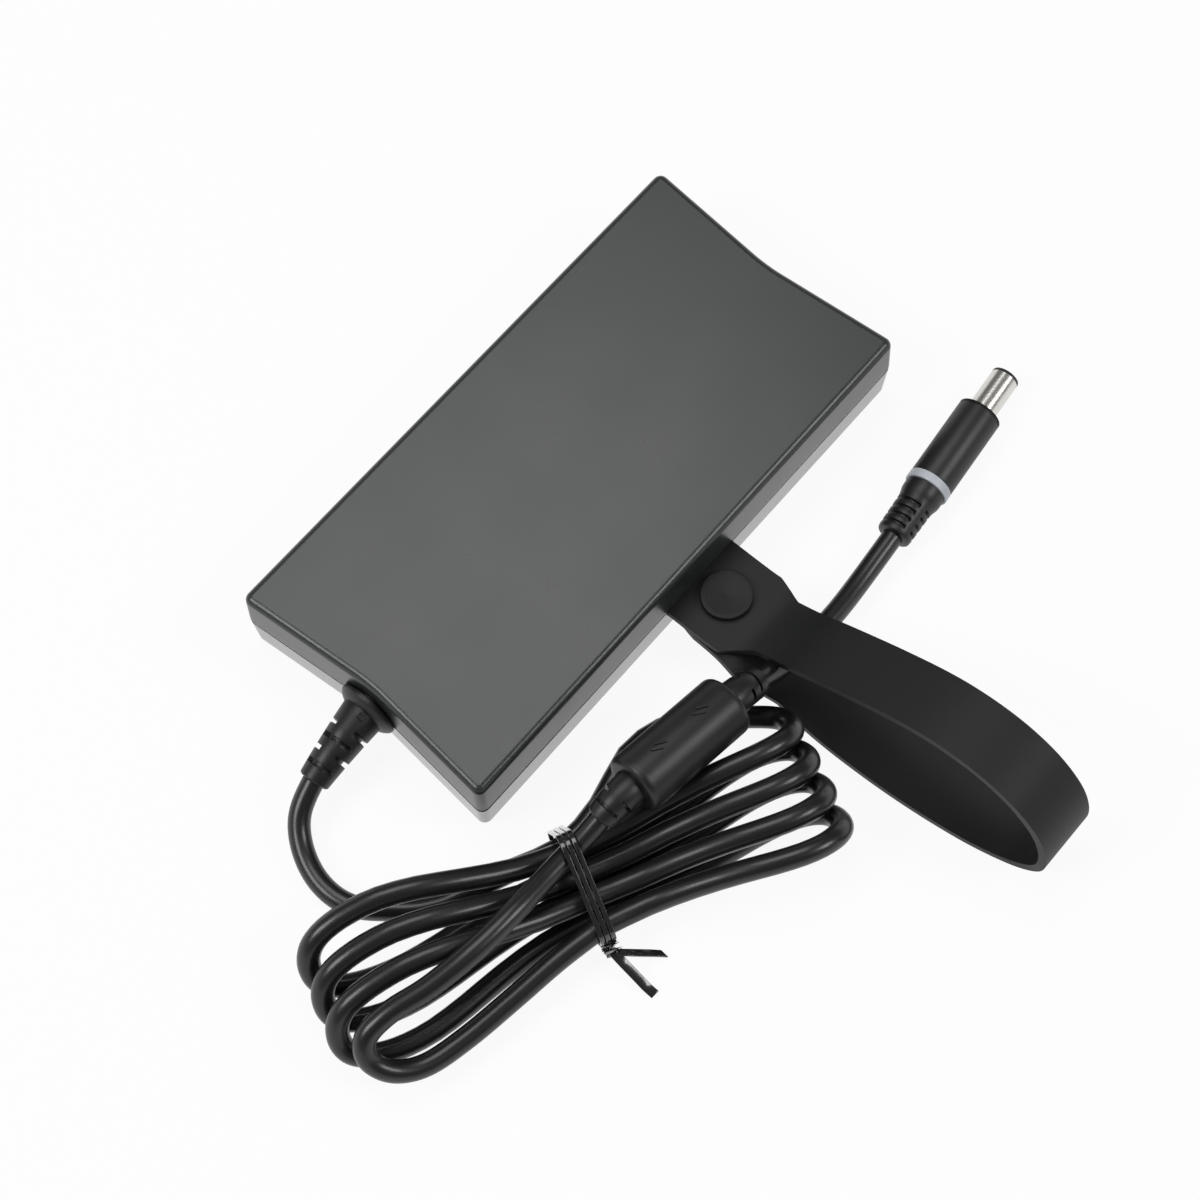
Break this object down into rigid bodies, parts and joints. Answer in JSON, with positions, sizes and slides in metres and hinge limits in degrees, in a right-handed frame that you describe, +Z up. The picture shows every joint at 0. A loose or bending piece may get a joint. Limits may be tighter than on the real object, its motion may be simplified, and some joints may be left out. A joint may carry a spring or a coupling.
{
  "type": "laptop power adapter",
  "caption": "Slim black laptop power adapter: two-shell housing, mains inlet, rubber cord strap with a stud, and a tied DC cord with ferrite bead and barrel plug.",
  "frame": {"origin": "centre of the housing's underside, on the surface it lies on", "axes": "+X along the housing towards the DC cord's exit, +Y towards the side with the cord strap, +Z up through the top cover"},
  "size_m": [0.237, 0.184, 0.0431],
  "materials": {
    "upper_shell": "satin charcoal",
    "lower_shell": "satin charcoal",
    "black_plastic": "satin",
    "cord_jacket": "satin",
    "strap_rubber": "matt",
    "tie_black": "gloss",
    "light_guide": "frosted",
    "nickel": "bright",
    "component_black": "matt",
    "ferrite": "matt",
    "copper_wire": "enamelled",
    "winding_tape": "gloss tape",
    "capacitor_yellow": "gloss",
    "capacitor_sleeve": "gloss sleeve",
    "board_green": "solder mask",
    "fish_paper": "matt sheet",
    "aluminium": "mill",
    "steel": "plated",
    "wire_insulation": "satin"
  },
  "bodies": {
    "housing": {"bottom_cover": "lower_shell", "top_cover": "upper_shell", "inlet_housing": "black_plastic", "inlet_pins": "nickel", "earth_pin": "nickel", "insulating_sheet": "fish_paper", "circuit_board": "board_green", "fuse": "component_black", "noise_capacitors": "capacitor_yellow", "choke_core": "ferrite", "choke_windings": "copper_wire", "bridge_rectifier": "component_black", "primary_heatsink": "aluminium", "switching_transistors": "component_black", "boost_choke_core": "ferrite", "boost_choke_winding": "copper_wire", "bulk_capacitor": "capacitor_sleeve", "transformer_core": "ferrite", "transformer_winding": "winding_tape", "optocoupler": "component_black", "control_chips": "component_black", "output_heatsink": "aluminium", "output_rectifiers": "component_black", "output_capacitors": "capacitor_sleeve", "heatsink_screws": "steel", "heat_spreader": "aluminium", "output_wires": "wire_insulation", "dc_strain_relief": "black_plastic", "lead_cord": "cord_jacket", "cord_hank": "cord_jacket", "twist_tie": "tie_black", "bead_housing": "black_plastic", "ferrite_core": "ferrite", "bead_cord": "cord_jacket", "bead_boot_near": "black_plastic", "bead_boot_far": "black_plastic", "plug_cord": "cord_jacket", "plug_boot": "black_plastic", "light_ring": "light_guide", "plug_grip": "black_plastic", "plug_sleeve": "nickel", "plug_insulator": "component_black", "plug_inner_sleeve": "nickel", "plug_pin": "nickel", "strap": "strap_rubber"},
    "button": {"strap_button": "strap_rubber"}
  },
  "joints": [
    {"name": "button_pull", "type": "slide", "parent": "housing", "child": "button", "axis": [0, 0, 1], "range_m": [0, 0.008]}
  ]
}
